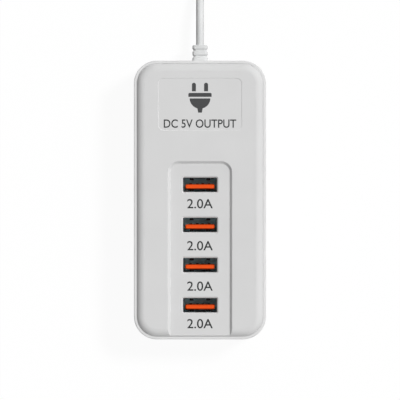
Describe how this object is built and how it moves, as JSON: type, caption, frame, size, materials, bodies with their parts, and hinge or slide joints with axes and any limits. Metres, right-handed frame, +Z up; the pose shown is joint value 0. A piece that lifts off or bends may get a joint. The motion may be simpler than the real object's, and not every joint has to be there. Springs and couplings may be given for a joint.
{
  "type": "multi port usb desktop charger",
  "caption": "Flat rounded desktop charger with a row of upright USB-A ports in a sunken channel on top, a stepped moulded housing, and a coiled mains cord with a round-pin plug.",
  "frame": {"origin": "centre of the housing's underside; the free cord, its coil and plug are left out", "axes": "+Z up out of the ports, +Y along the housing towards the cord, +X to the right seen from above with the cord at the top"},
  "size_m": [0.053, 0.2863, 0.024],
  "materials": {
    "cover_plastic": "fine matt mould texture",
    "tray_plastic": "fine matt mould texture",
    "port_orange": "smooth moulded",
    "port_shell": "dark plated sheet",
    "contact_metal": "dark plated strip",
    "screw_steel": "zinc plated",
    "board": "green solder mask",
    "cord_sheath": "soft satin sheath",
    "tie": "thin strap",
    "plug_plastic": "fine matt mould texture",
    "pin_metal": "nickel plated",
    "pin_sleeve": "smooth moulded",
    "wire_brown": "insulation",
    "wire_blue": "insulation",
    "ferrite": "sintered",
    "bobbin": "moulded",
    "winding_tape": "taped",
    "can_sleeve": "shrunk sleeve",
    "film_box": "moulded box",
    "fuse_body": "moulded",
    "copper_wire": "enamelled",
    "disc_coating": "dipped",
    "chip_plastic": "moulded"
  },
  "bodies": {
    "root": {"base_tray": "tray_plastic", "top_cover": "cover_plastic", "case_screws": "screw_steel", "circuit_board": "board", "strain_relief": "cord_sheath", "live_wire": "wire_brown", "neutral_wire": "wire_blue", "transformer_core": "ferrite", "transformer_bobbin": "bobbin", "transformer_winding": "winding_tape", "bulk_capacitor": "can_sleeve", "output_capacitors": "can_sleeve", "x_capacitor": "film_box", "fuse": "fuse_body", "choke_core": "ferrite", "choke_winding": "copper_wire", "y_capacitor": "disc_coating", "bridge_rectifier": "chip_plastic", "controller_chip": "chip_plastic", "optocoupler": "chip_plastic", "port_chips": "chip_plastic", "output_rectifier": "chip_plastic", "cord_lead": "cord_sheath", "cord_coil": "cord_sheath", "cord_tail": "cord_sheath", "coil_tie": "tie", "plug_body": "plug_plastic", "plug_pins": "pin_metal", "plug_sleeves": "pin_sleeve", "usb_shell_1": "port_shell", "usb_insulator_1": "port_orange", "usb_contacts_1": "contact_metal", "usb_shell_2": "port_shell", "usb_insulator_2": "port_orange", "usb_contacts_2": "contact_metal", "usb_shell_3": "port_shell", "usb_insulator_3": "port_orange", "usb_contacts_3": "contact_metal", "usb_shell_4": "port_shell", "usb_insulator_4": "port_orange", "usb_contacts_4": "contact_metal"}
  },
  "joints": []
}
